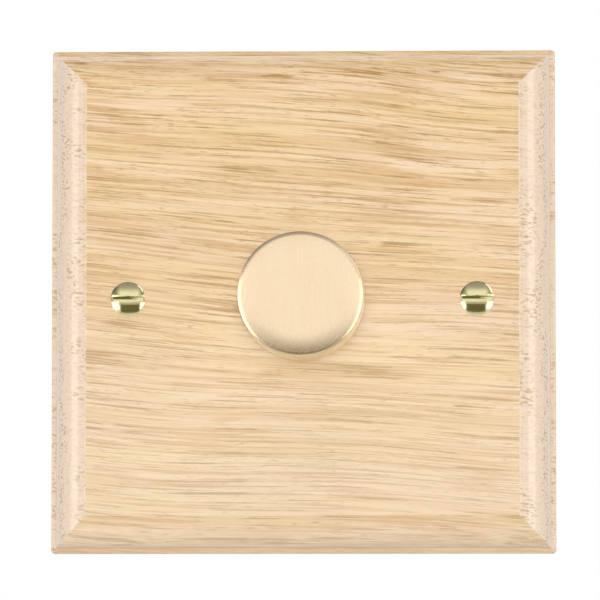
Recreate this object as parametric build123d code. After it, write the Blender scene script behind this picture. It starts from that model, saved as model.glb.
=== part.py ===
from build123d import *
import math
import os

# A push-and-turn wall dimmer on a moulded oak plate, in millimetres.
# X runs to the right and Z up as it hangs. Y = 0 is the wall, and the front faces -Y.

# Oak front plate
PLATE_SIDE = 87.6
PLATE_THICK = 10.0
EDGE_HEIGHT = 3.8
LEDGE_WIDTH = 0.9
OVOLO_RADIUS = 5.4
QUIRK_HEIGHT = 0.4
CORNER_ROUND = 0.6
POCKET_SIDE = 70.0
POCKET_DEPTH = 3.2
POCKET_CORNER = 6.0
NUT_WELL_CLEARANCE = 1.1

# Fixing screws, and the holes that they pass through
FIXING_PITCH = 60.3
FIXING_HEAD_D = 6.0
FIXING_HEAD_RISE = 0.7
FIXING_SHANK_D = 3.0
FIXING_THREAD_D = 3.5
FIXING_REACH = 15.0
FIXING_SLOT_WIDTH = 0.9
FIXING_SLOT_DEPTH = 1.1
FIXING_HOLE_D = 4.0

# Steel support plate and its wood screws
SUPPORT_THICK = 1.5
SUPPORT_FIT = 0.5
WOOD_SCREW_INSET = 5.2
WOOD_SCREW_D = 2.4
WOOD_SCREW_HEAD_D = 5.0
WOOD_SCREW_HEAD = 1.2
WOOD_SCREW_POINT = 1.4
WOOD_COVER = 2.0

# Earth terminal, staked to the support plate
EARTH_WIDTH = 7.0
EARTH_HEIGHT = 8.0
EARTH_DEPTH = 8.0
EARTH_STAKE_D = 3.0
EARTH_DROP = 17.0

# Threaded bush, nut and lock washer
BUSH_D = 10.0
BUSH_PROUD = 1.2
BUSH_HOLE_CLEARANCE = 0.15
FLANGE_THICK = 1.5
NUT_ACROSS = 14.0
NUT_THICK = 2.5
WASHER_D = 14.4
WASHER_THICK = 0.6
WASHER_RIM = 1.2
WASHER_TEETH = 10

# Knob
KNOB_BASE_D = 21.7
KNOB_FRONT_D = 21.5
KNOB_HEIGHT = 10.4
KNOB_DOME_RADIUS = 23.0
KNOB_DOME_ANGLE = 9.5
KNOB_ROLL_RADIUS = 2.0
KNOB_ROLL_ANGLE = 32.0
KNOB_CORNER = 0.2
KNOB_GAP = 0.8
KNOB_WALL = 1.8
KNOB_FACE_WALL = 1.6
CORE_RIM = 1.3
CORE_FACE = 1.2
CORE_RECESS = 0.4
CORE_RIBS = 6
CORE_RIB = 1.0
HUB_D = 10.0
HUB_SPLIT = 0.8
KNOB_SPRING_THICK = 0.6
KNOB_SPRING_WIDTH = 2.0
KNOB_SPRING_ANGLE = 300.0

# Spindle, its retaining clip and the travel of the knob
SPINDLE_D = 6.0
SPINDLE_FLAT = 1.4
SPINDLE_SEAT = 0.3
CLIP_D = 9.6
CLIP_THICK = 0.6
CLIP_GROOVE = 0.7
PUSH_TRAVEL = 1.2
TURN_RANGE = 300.0

# Turning control
HOUSING_BORE_D = 17.4
HOUSING_WALL = 1.9
ROTOR_D = 14.0
ROTOR_THICK = 3.0
ROTOR_HUB_D = 8.6
ROTOR_LUG_ANGLE = 28.0
ROTOR_LUG_ROOT = 0.6
STOP_MARGIN_ANGLE = 1.0
ROTOR_REST = 0.8
WIPER_SPACE = 1.0
WIPER_THICK = 0.25
WIPER_ANGLE = 130.0
TRACK_THICK = 1.0
TRACK_SEAT = 0.7
TRACK_PIN_D = 0.8
TRACK_PIN_ANGLE = 32.0

# Module: heat sink, case and circuit board
SINK_THICK = 2.0
CASE_WIDTH = 48.0
CASE_HEIGHT = 50.0
CASE_WALL = 1.6
CASE_CORNER = 3.0
CASE_BACK_EDGE = 1.0
CASE_SCREW_D = 2.5
CASE_SCREW_HEAD_D = 4.8
CASE_SCREW_LENGTH = 8.0
POST_D = 5.8
POST_INSET = 3.4
RIB_REACH = 1.6
RIB_WIDTH = 3.0
RIB_SPREAD = 8.0
BOARD_THICK = 1.6
BOARD_GAP = 0.4

# Push switch behind the board
SWITCH_SIDE = 14.0
SWITCH_DEPTH = 8.4
SWITCH_WALL = 1.0
SWITCH_BASE = 1.2
NOSE_D = 4.6
NOSE_PROUD = 0.9
PLUNGER_FLANGE_D = 8.4
PLUNGER_FLANGE = 1.2
PLUNGER_STEM_D = 2.8
PLUNGER_STEM = 2.8
BRIDGE_LENGTH = 10.0
BRIDGE_WIDTH = 3.2
BRIDGE_THICK = 0.4
STUD_D = 1.8
STUD_HEIGHT = 0.4
STUD_SPREAD = 4.0
CONTACT_THICK = 0.5
CONTACT_REACH = 2.9
SPRING_D = 4.7
SPRING_WIRE = 0.5
SPRING_TURNS = 4

# Power transistors on the heat sink
MOSFET_WIDTH = 10.0
MOSFET_BODY = 9.0
MOSFET_TAB = 6.4
MOSFET_THICK = 4.5
TAB_THICK = 1.3
MOSFET_GAP = 0.6
MOSFET_BOTTOM = 0.0
LEAD_PITCH = 2.54
LEAD_WIDTH = 0.8
LEAD_THICK = 0.5
LEAD_DROP = 2.6
MOSFET_SCREW_D = 3.0
MOSFET_SCREW_HEAD_D = 5.4
MOSFET_SCREW_HEAD = 1.8

# Parts on the back of the board: how far from the case's walls, and sizes
PIN_D = 0.8
PART_INSET = 8.0
FILM_DROP = 8.9
FILM_WIDTH = 12.0
FILM_HEIGHT = 6.5
FILM_PIN_SPREAD = 5.0
SMOOTHING_DROP = 10.4
SMOOTHING_D = 8.4
CHOKE_RISE = 2.5
CHOKE_D = 9.2
CHOKE_WAIST_D = 4.0
CHOKE_FLANGE = 1.2
FUSE_RISE = 1.5
FUSE_D = 8.4
FUSE_EDGE = 0.8
ROUND_PIN_SPREAD = 2.0
CHIP_DROP = 9.9
CHIP_WIDTH = 5.0
CHIP_HEIGHT = 4.0
CHIP_THICK = 1.5
CHIP_LEADS = 4
CHIP_LEAD_PITCH = 1.27
TALL_PART_GAP = 0.6

# Terminals: a moulded block of three ways, each with a brass cage and a pinch screw
TERMINAL_WAYS = 3
TERMINAL_PITCH = 10.5
BLOCK_TOP = 12.0
BLOCK_FOOT = 1.0
CAGE_WIDTH = 7.5
CAGE_HEIGHT = 8.0
CAGE_DEPTH = 8.0
CAGE_FIT = 0.1
WIRE_HOLE_D = 3.8
PINCH_SCREW_D = 3.0
PINCH_SCREW_LENGTH = 4.0
PINCH_WELL_D = 4.0
SCREW_SLOT = 0.7
SCREW_SLOT_DEPTH = 0.6

# Clearances shared by fits of the same kind
RUNNING_FIT = 0.06
SLIDE_FIT = 0.1
SCREW_FIT = 0.05
SEAT_FIT = 0.03
RUNNING_GAP = 0.3
TOUCH_GAP = 0.1
FLOOR_GAP = 0.3

# Planes from front to back, each set by the piece before it
FIELD_Y = -PLATE_THICK
LEDGE_Y = -EDGE_HEIGHT
POCKET_Y = -POCKET_DEPTH
WASHER_FRONT = POCKET_Y - WASHER_THICK
NUT_FRONT = WASHER_FRONT - NUT_THICK
BUSH_FRONT = NUT_FRONT - BUSH_PROUD
SUPPORT_BACK = POCKET_Y + SUPPORT_THICK
SINK_BACK = SUPPORT_BACK + SINK_THICK
FLANGE_BACK = SINK_BACK + FLANGE_THICK
CLIP_FRONT = FLANGE_BACK + TOUCH_GAP
CLIP_BACK = CLIP_FRONT + CLIP_THICK
ROTOR_FRONT = CLIP_BACK + PUSH_TRAVEL + RUNNING_GAP
ROTOR_BACK = ROTOR_FRONT + ROTOR_THICK
TRACK_FRONT = ROTOR_BACK + WIPER_SPACE
BOARD_FRONT = TRACK_FRONT + TRACK_THICK
BOARD_BACK = BOARD_FRONT + BOARD_THICK
SWITCH_BACK = BOARD_BACK + SWITCH_DEPTH
CASE_FLOOR = SWITCH_BACK + FLOOR_GAP
CASE_BACK = CASE_FLOOR + CASE_WALL
KNOB_BASE = FIELD_Y - KNOB_GAP - PUSH_TRAVEL
KNOB_FACE = KNOB_BASE - KNOB_HEIGHT
CORE_FRONT = KNOB_FACE + KNOB_FACE_WALL
CORE_BACK = KNOB_BASE - CORE_RECESS
BORE_END = CORE_FRONT + CORE_FACE - SPINDLE_SEAT
SPINDLE_TIP = BORE_END + SPINDLE_SEAT
NOSE_TIP = BOARD_BACK - NOSE_PROUD
SPINDLE_END = NOSE_TIP - TOUCH_GAP
FLANGE_FRONT = BOARD_BACK + SWITCH_BASE + TOUCH_GAP
BRIDGE_FRONT = FLANGE_FRONT + PLUNGER_FLANGE
BRIDGE_BACK = BRIDGE_FRONT + BRIDGE_THICK
CONTACT_FRONT = BRIDGE_BACK + STUD_HEIGHT + PUSH_TRAVEL + TOUCH_GAP
COVER_FLOOR = SWITCH_BACK - SWITCH_WALL
TALL_PART_BACK = SWITCH_BACK - TALL_PART_GAP

# Sizes that follow from the ones above
NUT_WELL_R = NUT_ACROSS / math.sqrt(3) + NUT_WELL_CLEARANCE
BUSH_HOLE_R = BUSH_D / 2 + BUSH_HOLE_CLEARANCE
SPINDLE_R = SPINDLE_D / 2
HOUSING_BORE_R = HOUSING_BORE_D / 2
HOUSING_R = HOUSING_BORE_R + HOUSING_WALL
ROTOR_R = ROTOR_D / 2
LUG_R = HOUSING_BORE_R - RUNNING_GAP
STOP_R = ROTOR_R + RUNNING_GAP
STOP_ANGLE = 360 - TURN_RANGE - ROTOR_LUG_ANGLE - 2 * STOP_MARGIN_ANGLE
REST_ANGLE = 180 + STOP_ANGLE / 2 + STOP_MARGIN_ANGLE + ROTOR_LUG_ANGLE / 2
TRACK_R = HOUSING_BORE_R + TRACK_SEAT
INNER_WIDTH = CASE_WIDTH - 2 * CASE_WALL
INNER_HEIGHT = CASE_HEIGHT - 2 * CASE_WALL
KNOB_CAVITY_R = KNOB_BASE_D / 2 - KNOB_WALL
SWITCH_INNER = SWITCH_SIDE / 2 - SWITCH_WALL
FIXING_AT = [(side * FIXING_PITCH / 2, 0) for side in (-1, 1)]
WOOD_SCREW_AT = [
    (x * (POCKET_SIDE / 2 - WOOD_SCREW_INSET), z * (POCKET_SIDE / 2 - WOOD_SCREW_INSET))
    for x in (-1, 1) for z in (-1, 1)
]
POST_AT = [
    (x * (CASE_WIDTH / 2 - POST_INSET), z * (CASE_HEIGHT / 2 - POST_INSET))
    for x in (-1, 1) for z in (-1, 1)
]
EARTH_AT = (-(CASE_WIDTH + POCKET_SIDE) / 4, -EARTH_DROP)
MOSFET_X = INNER_WIDTH / 2 - MOSFET_GAP - MOSFET_WIDTH / 2
HOUSING_FLAT = MOSFET_X - MOSFET_WIDTH / 2 - MOSFET_GAP
MOSFET_AT = [-MOSFET_X, MOSFET_X]
MOSFET_HOLE_Z = MOSFET_BOTTOM + MOSFET_BODY + MOSFET_TAB / 2
LEAD_X = [x + step * LEAD_PITCH for x in MOSFET_AT for step in (-1, 0, 1)]
LEAD_Z = MOSFET_BOTTOM - LEAD_DROP
PART_X = INNER_WIDTH / 2 - PART_INSET
FILM_AT = (PART_X, INNER_HEIGHT / 2 - FILM_DROP)
SMOOTHING_AT = (-PART_X, INNER_HEIGHT / 2 - SMOOTHING_DROP)
CHOKE_AT = (PART_X, CHOKE_RISE)
FUSE_AT = (-PART_X, FUSE_RISE)
CHIP_AT = (0, INNER_HEIGHT / 2 - CHIP_DROP)
BLOCK_WIDTH = TERMINAL_WAYS * TERMINAL_PITCH
BLOCK_LOW = -CASE_HEIGHT / 2
BLOCK_HIGH = BLOCK_LOW + BLOCK_TOP
CAGE_X = [(way - (TERMINAL_WAYS - 1) / 2) * TERMINAL_PITCH for way in range(TERMINAL_WAYS)]
CAGE_LOW = BLOCK_LOW + BLOCK_FOOT
CAGE_MID_Z = CAGE_LOW + CAGE_HEIGHT / 2
CAGE_AT = [(x, CAGE_MID_Z) for x in CAGE_X]
CAGE_BACK = BOARD_BACK + CAGE_DEPTH
WIRE_Y = BOARD_BACK + CAGE_DEPTH / 2
TRACK_PIN_R = (TRACK_R + ROTOR_HUB_D / 2) / 2 + TRACK_SEAT
TRACK_PIN_AT = [
    (TRACK_PIN_R * math.sin(math.radians(a)), -TRACK_PIN_R * math.cos(math.radians(a)))
    for a in (-TRACK_PIN_ANGLE, 0, TRACK_PIN_ANGLE)
]


def slab(sketch, y0, y1):
    """A sketch drawn across X and Z, thickened from y0 to y1."""
    plane = Plane(origin=(0, y1, 0), x_dir=(1, 0, 0), z_dir=(0, -1, 0))
    return extrude(plane * sketch, amount=y1 - y0)


def rod(radius, y0, y1, at=(0, 0)):
    """A round bar along Y, centred at X and Z."""
    return slab(Pos(at[0], at[1]) * Circle(radius), y0, y1)


def block(x0, x1, y0, y1, z0, z1):
    """A rectangular block between two corners."""
    middle = Pos((x0 + x1) / 2, (y0 + y1) / 2, (z0 + z1) / 2)
    return middle * Box(x1 - x0, y1 - y0, z1 - z0)


def upright(radius, z0, z1, x, y):
    """A round bar along Z."""
    return Pos(x, y, (z0 + z1) / 2) * Cylinder(radius, z1 - z0)


def turned(points):
    """A solid of revolution about Y from (radius, y) points."""
    return revolve(make_face(Polyline(*points, close=True)), Axis.Y)


def place(shape, at):
    """A shape moved across and up."""
    return Pos(at[0], 0, at[1]) * shape


def spread(shape, places):
    """One separate copy of a shape at each place."""
    return Compound(children=[place(shape, at).solid() for at in places])


def ring_sector(inner, outer, middle, angle, y0, y1):
    """A piece of a ring, its middle given clockwise from the top as seen from the front."""
    start = 90 - middle - angle / 2
    far = CenterArc((0, 0), outer, start, angle)
    near = CenterArc((0, 0), inner, start, angle)
    ends = [Line(far @ 0, near @ 0), Line(far @ 1, near @ 1)]
    return slab(make_face([far, near, *ends]), y0, y1)


def d_section(radius, flat):
    """A round section with a flat cut across its top."""
    low = radius * 2
    trim = Pos(0, radius - flat - low / 2) * Rectangle(low, low)
    return Circle(radius) & trim


def slot_cut(width, depth, length, y_top):
    """A screwdriver slot across X, cut inwards (+Y) from y_top."""
    return block(-length, length, y_top - length, y_top + depth, -width / 2, width / 2)


def front_plate():
    half = PLATE_SIDE / 2
    foot = half - LEDGE_WIDTH
    field = foot - OVOLO_RADIUS
    right = CenterArc((field, FIELD_Y + QUIRK_HEIGHT + OVOLO_RADIUS), OVOLO_RADIUS, -90, 90)
    left = mirror(right, Plane.YZ)
    base = Polyline(
        left @ 1, (-foot, LEDGE_Y), (-half, LEDGE_Y), (-half, 0),
        (half, 0), (half, LEDGE_Y), (foot, LEDGE_Y), right @ 1,
    )
    top = Polyline(right @ 0, (field, FIELD_Y), (-field, FIELD_Y), left @ 0)
    profile = make_face([*base.edges(), right, *top.edges(), left])
    moulded = extrude(profile, amount=half, both=True)
    crossed = Rot(0, 90, 0) * moulded
    outline = slab(RectangleRounded(PLATE_SIDE, PLATE_SIDE, CORNER_ROUND), FIELD_Y, 0)
    plate = moulded & crossed & outline
    pocket = RectangleRounded(POCKET_SIDE, POCKET_SIDE, POCKET_CORNER)
    plate -= slab(pocket, POCKET_Y, 0)
    plate -= rod(NUT_WELL_R, FIELD_Y, POCKET_Y)
    head = FIXING_HEAD_D / 2 + SEAT_FIT
    hole = FIXING_HOLE_D / 2
    seat = turned([(0, FIELD_Y), (head, FIELD_Y), (hole, FIELD_Y + head - hole), (hole, 0), (0, 0)])
    for at in FIXING_AT:
        plate -= place(seat, at)
    for at in WOOD_SCREW_AT:
        plate -= place(wood_screw(WOOD_SCREW_D / 2 + SCREW_FIT, SCREW_FIT), at)
    return plate


def wood_screw(radius, extra=0.0):
    """The shank and point of a wood screw, from the plate's pocket towards the front."""
    tip = FIELD_Y + WOOD_COVER - extra
    neck = FIELD_Y + WOOD_COVER + WOOD_SCREW_POINT
    return turned([(0, SUPPORT_BACK), (radius, SUPPORT_BACK), (radius, neck), (0, tip)])


def fixing_screws():
    head = FIXING_HEAD_D / 2
    shank = FIXING_SHANK_D / 2
    thread = FIXING_THREAD_D / 2
    point = FIXING_REACH - thread / 2
    dome = ThreePointArc(
        (-head, FIELD_Y), (0, FIELD_Y - FIXING_HEAD_RISE), (head, FIELD_Y)
    ).trim(0.5, 1)
    body = Polyline(
        dome @ 1, (shank, FIELD_Y + head - shank), (shank, 0), (thread, 0), (thread, point),
        (thread / 2, FIXING_REACH), (0, FIXING_REACH), dome @ 0,
    )
    screw = revolve(make_face([dome, *body.edges()]), Axis.Y)
    screw -= slot_cut(FIXING_SLOT_WIDTH, FIXING_SLOT_DEPTH, head, FIELD_Y - FIXING_HEAD_RISE)
    return spread(screw, FIXING_AT)


def support_plate():
    side = POCKET_SIDE - 2 * SUPPORT_FIT
    outline = RectangleRounded(side, side, POCKET_CORNER - SUPPORT_FIT)
    outline -= Circle(BUSH_HOLE_R)
    outline -= [Pos(*at) * Circle(FIXING_HOLE_D / 2) for at in FIXING_AT]
    outline -= [Pos(*at) * Circle(WOOD_SCREW_D / 2 + SLIDE_FIT) for at in WOOD_SCREW_AT]
    outline -= Pos(*EARTH_AT) * Circle(EARTH_STAKE_D / 2 + SEAT_FIT)
    return slab(outline, POCKET_Y, SUPPORT_BACK)


def round_head(radius, under, height):
    """A slotted dome head, its underside at `under` and its top towards the back."""
    back = under + height
    edge = under + height / 3
    dome = ThreePointArc((-radius, edge), (0, back), (radius, edge)).trim(0.5, 1)
    sides = Polyline(dome @ 1, (radius, under), (0, under), dome @ 0)
    head = revolve(make_face([dome, *sides.edges()]), Axis.Y)
    return head - back_slot(radius, back)


def back_slot(reach, back):
    """A screwdriver slot across X, cut forwards from the plane `back`."""
    return block(-reach, reach, back - SCREW_SLOT_DEPTH, back, -SCREW_SLOT / 2, SCREW_SLOT / 2)


def plate_screws():
    screw = round_head(WOOD_SCREW_HEAD_D / 2, SUPPORT_BACK, WOOD_SCREW_HEAD)
    return spread(screw + wood_screw(WOOD_SCREW_D / 2), WOOD_SCREW_AT)


def pinch_screw(y_tip):
    """A headless slotted screw, its tip towards the front."""
    radius = PINCH_SCREW_D / 2
    back = y_tip + PINCH_SCREW_LENGTH
    screw = chamfer(rod(radius, y_tip, back).edges().sort_by(Axis.Y)[:1], radius / 4)
    return screw - back_slot(radius, back)


def cage(width, height, y0, y1, wire_y):
    """A brass terminal: wire hole along Z, tapped hole from the back."""
    body = block(-width / 2, width / 2, y0, y1, -height / 2, height / 2)
    body = chamfer(body.edges().filter_by(Axis.Y), width / 12)
    body -= upright(WIRE_HOLE_D / 2, -height, height, 0, wire_y)
    return body - rod(PINCH_SCREW_D / 2 + SCREW_FIT, wire_y, y1)


def earth_wire_y():
    return SUPPORT_BACK + EARTH_DEPTH / 2


def earth_terminal():
    body = cage(EARTH_WIDTH, EARTH_HEIGHT, SUPPORT_BACK, SUPPORT_BACK + EARTH_DEPTH, earth_wire_y())
    return place(body + rod(EARTH_STAKE_D / 2, POCKET_Y, SUPPORT_BACK), EARTH_AT)


def earth_screw():
    return place(pinch_screw(earth_wire_y() + WIRE_HOLE_D / 2), EARTH_AT)


def mounting_bush():
    thread = BUSH_D / 2
    bore = SPINDLE_R + RUNNING_FIT
    lead = BUSH_PROUD / 3
    flange = HOUSING_BORE_R - SLIDE_FIT
    return turned([
        (bore, BUSH_FRONT), (thread - lead, BUSH_FRONT), (thread, BUSH_FRONT + lead),
        (thread, SINK_BACK), (flange, SINK_BACK), (flange, FLANGE_BACK), (bore, FLANGE_BACK),
    ])


def bush_nut():
    corner = NUT_ACROSS / math.sqrt(3)
    hexagon = RegularPolygon(corner, 6) - Circle(BUSH_D / 2 + SCREW_FIT)
    bevel = (corner - NUT_ACROSS / 2) / 2
    lens = turned([
        (0, NUT_FRONT), (NUT_ACROSS / 2, NUT_FRONT), (corner, NUT_FRONT + bevel),
        (corner, WASHER_FRONT), (0, WASHER_FRONT),
    ])
    return slab(hexagon, NUT_FRONT, WASHER_FRONT) & lens


def bush_washer():
    outer = WASHER_D / 2
    inner = BUSH_HOLE_R
    rim = Circle(outer) - Circle(outer - WASHER_RIM)
    step = 360 / WASHER_TEETH
    tooth = Pos((inner + outer) / 2, 0) * Rectangle(outer - inner, WASHER_RIM)
    teeth = [Rot(0, 0, step * n) * tooth for n in range(WASHER_TEETH)]
    star = (rim + teeth) & (Circle(outer) - Circle(inner))
    return slab(star, WASHER_FRONT, POCKET_Y)


def knob_cap():
    """A turned cap: the flat face domes off towards its edge, then rolls over to a crisp corner."""
    dome_sine = math.sin(math.radians(KNOB_DOME_ANGLE))
    roll_sine = math.sin(math.radians(KNOB_ROLL_ANGLE))
    dome_start = KNOB_FRONT_D / 2 - KNOB_ROLL_RADIUS * (roll_sine - dome_sine) - KNOB_DOME_RADIUS * dome_sine
    dome = JernArc((dome_start, KNOB_FACE), (1, 0), KNOB_DOME_RADIUS, KNOB_DOME_ANGLE)
    roll = JernArc(dome @ 1, dome % 1, KNOB_ROLL_RADIUS, KNOB_ROLL_ANGLE - KNOB_DOME_ANGLE)
    rest = Polyline(
        roll @ 1, (KNOB_BASE_D / 2, KNOB_BASE), (KNOB_CAVITY_R, KNOB_BASE),
        (KNOB_CAVITY_R, CORE_FRONT), (0, CORE_FRONT), (0, KNOB_FACE), dome @ 0,
    )
    profile = make_face([dome, roll, rest])
    profile = fillet(profile.vertices().sort_by_distance(roll @ 1)[:1], KNOB_CORNER)
    return revolve(profile, Axis.Y)


def knob_core():
    outer = KNOB_CAVITY_R - SEAT_FIT
    hub = HUB_D / 2
    rib_back = CORE_BACK - KNOB_SPRING_WIDTH - 2 * RUNNING_GAP
    rim = slab(Circle(outer) - Circle(outer - CORE_RIM), CORE_FRONT, CORE_BACK)
    core = rim + rod(outer, CORE_FRONT, CORE_FRONT + CORE_FACE) + rod(hub, CORE_FRONT, CORE_BACK)
    middle = (hub + outer) / 2
    rib = Pos(middle - CORE_RIM / 2, 0) * Rectangle(outer - hub, CORE_RIB)
    for n in range(CORE_RIBS):
        core += slab(Rot(0, 0, 360 / CORE_RIBS * n) * rib, CORE_FRONT, rib_back)
    core -= slab(d_section(SPINDLE_R + SEAT_FIT, SPINDLE_FLAT), BORE_END, CORE_BACK)
    return core - block(-hub, hub, rib_back, CORE_BACK, -HUB_SPLIT / 2, HUB_SPLIT / 2)


def knob_spring():
    inner = HUB_D / 2 + SEAT_FIT
    back = CORE_BACK - RUNNING_GAP
    return ring_sector(
        inner, inner + KNOB_SPRING_THICK, 0, KNOB_SPRING_ANGLE, back - KNOB_SPRING_WIDTH, back
    )


def spindle():
    step = BOARD_BACK - PUSH_TRAVEL - RUNNING_GAP
    bar = chamfer(rod(SPINDLE_R, SPINDLE_TIP, step).edges().sort_by(Axis.Y)[:1], SPINDLE_FLAT / 3)
    bar += rod(NOSE_D / 2 - RUNNING_GAP, step, SPINDLE_END)
    flat = Pos(0, 2 * SPINDLE_R - SPINDLE_FLAT) * Rectangle(SPINDLE_D, SPINDLE_D)
    bar -= slab(flat, SPINDLE_TIP, BUSH_FRONT - PUSH_TRAVEL - RUNNING_GAP)
    bar -= slab(flat, CLIP_BACK, SPINDLE_END)
    groove = Circle(SPINDLE_D) - Circle(SPINDLE_R - CLIP_GROOVE)
    return bar - slab(groove, CLIP_FRONT, CLIP_BACK)


def spindle_clip():
    inner = SPINDLE_R - CLIP_GROOVE + SEAT_FIT
    ring = Circle(CLIP_D / 2) - Circle(inner)
    mouth = Pos(0, -CLIP_D / 2) * Rectangle(2 * inner, CLIP_D)
    return slab(ring - mouth, CLIP_FRONT + SEAT_FIT, CLIP_BACK - SEAT_FIT)


def control_housing():
    seat = TRACK_R + SLIDE_FIT
    rest_front = ROTOR_FRONT - RUNNING_GAP - ROTOR_REST
    rest_back = ROTOR_FRONT - RUNNING_GAP
    rest_r = CLIP_D / 2 + 2 * RUNNING_GAP
    shell = turned([
        (HOUSING_BORE_R, SINK_BACK), (HOUSING_R, SINK_BACK), (HOUSING_R, BOARD_FRONT),
        (seat, BOARD_FRONT), (seat, TRACK_FRONT), (HOUSING_BORE_R, TRACK_FRONT),
        (HOUSING_BORE_R, rest_back), (rest_r, rest_back), (rest_r, rest_front),
        (HOUSING_BORE_R, rest_front),
    ])
    middle = (HOUSING_BORE_R + HOUSING_R) / 2
    stop = ring_sector(STOP_R, middle, 180, STOP_ANGLE, rest_front, TRACK_FRONT)
    # The sides are flat where they would come too near the transistors.
    sides = slab(Rectangle(2 * HOUSING_FLAT, 2 * HOUSING_R), SINK_BACK, BOARD_FRONT)
    return (shell + stop) & sides


def wiper_rotor():
    disc = rod(ROTOR_R, ROTOR_FRONT, ROTOR_BACK)
    disc += rod(ROTOR_HUB_D / 2, ROTOR_BACK, BOARD_FRONT - RUNNING_GAP)
    root = ROTOR_R - ROTOR_LUG_ROOT
    disc += ring_sector(root, LUG_R, REST_ANGLE, ROTOR_LUG_ANGLE, ROTOR_FRONT, ROTOR_BACK)
    keyway = d_section(SPINDLE_R + SLIDE_FIT, SPINDLE_FLAT)
    return disc - slab(keyway, ROTOR_FRONT, BOARD_FRONT)


def wiper_contact():
    inner = ROTOR_HUB_D / 2 + SLIDE_FIT
    outer = ROTOR_R - SLIDE_FIT
    back = ROTOR_BACK + WIPER_THICK
    tip = TRACK_FRONT - TOUCH_GAP
    rise = tip - back
    blade = ring_sector(inner, outer, 0, WIPER_ANGLE, ROTOR_BACK, back)
    finger = Polyline(
        (-rise, back), (rise, tip), (rise + WIPER_THICK, tip), (-rise + WIPER_THICK, back), close=True
    )
    width = (outer - inner) / 3
    for middle in (inner + width / 2, outer - width / 2):
        prong = extrude(make_face(finger), amount=width / 2, both=True)
        blade += Pos(0, 0, middle) * prong
    return blade


def track_plate():
    disc = Circle(TRACK_R) - Circle(ROTOR_HUB_D / 2 + RUNNING_FIT)
    return slab(disc, TRACK_FRONT, BOARD_FRONT)


def track_pins():
    return spread(rod(TRACK_PIN_D / 2, BOARD_FRONT, BOARD_BACK), TRACK_PIN_AT)


def heat_sink():
    outline = RectangleRounded(CASE_WIDTH, CASE_HEIGHT, CASE_CORNER) - Circle(BUSH_HOLE_R)
    tapped = Circle(MOSFET_SCREW_D / 2 + SCREW_FIT)
    outline -= [Pos(x, MOSFET_HOLE_Z) * tapped for x in MOSFET_AT]
    plate = slab(outline, SUPPORT_BACK, SINK_BACK)
    hole = case_screw(SEAT_FIT)
    for at in POST_AT:
        plate -= place(hole, at)
    return plate


def case_screw(fit=0.0):
    """A countersunk screw flush with the heat sink's front, or its hole when given a fit."""
    head = CASE_SCREW_HEAD_D / 2 + fit
    shank = CASE_SCREW_D / 2 + fit
    end = SUPPORT_BACK + CASE_SCREW_LENGTH + fit
    return turned([
        (0, SUPPORT_BACK), (head, SUPPORT_BACK), (shank, SUPPORT_BACK + head - shank),
        (shank, end), (0, end),
    ])


def case_screws():
    half = CASE_SCREW_HEAD_D / 2
    slot = block(-half, half, SUPPORT_BACK, SUPPORT_BACK + SCREW_SLOT_DEPTH,
                 -SCREW_SLOT / 2, SCREW_SLOT / 2)
    return spread(case_screw() - slot, POST_AT)


def rear_case():
    outer = slab(RectangleRounded(CASE_WIDTH, CASE_HEIGHT, CASE_CORNER), SINK_BACK, CASE_BACK)
    outer = chamfer(outer.edges().group_by(Axis.Y)[-1], CASE_BACK_EDGE)
    inner = RectangleRounded(INNER_WIDTH, INNER_HEIGHT, CASE_CORNER - CASE_WALL)
    tub = outer - slab(inner, SINK_BACK, CASE_FLOOR)
    for at in POST_AT:
        tub += rod(POST_D / 2, SINK_BACK, CASE_FLOOR, at)
    for side in (-1, 1):
        wall = side * INNER_WIDTH / 2
        edge = wall - side * RIB_REACH
        for z in (-RIB_SPREAD, RIB_SPREAD):
            tub += block(min(wall, edge), max(wall, edge), BOARD_BACK, CASE_FLOOR,
                         z - RIB_WIDTH / 2, z + RIB_WIDTH / 2)
    for at in POST_AT:
        tub -= place(case_screw(SEAT_FIT), at)
    half = BLOCK_WIDTH / 2 + SLIDE_FIT
    return tub - block(-half, half, BOARD_BACK, CASE_BACK, BLOCK_LOW, BLOCK_HIGH + SLIDE_FIT)


def pin_pair(at, reach):
    """Places of two pins, one on each side of a part's middle."""
    return [(at[0] + side * reach, at[1]) for side in (-1, 1)]


def component_pins():
    """Places of the round pins that come through the board."""
    pins = pin_pair(FILM_AT, FILM_PIN_SPREAD)
    for at in (SMOOTHING_AT, CHOKE_AT, FUSE_AT):
        pins += pin_pair(at, ROUND_PIN_SPREAD)
    return pins + CAGE_AT


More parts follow.
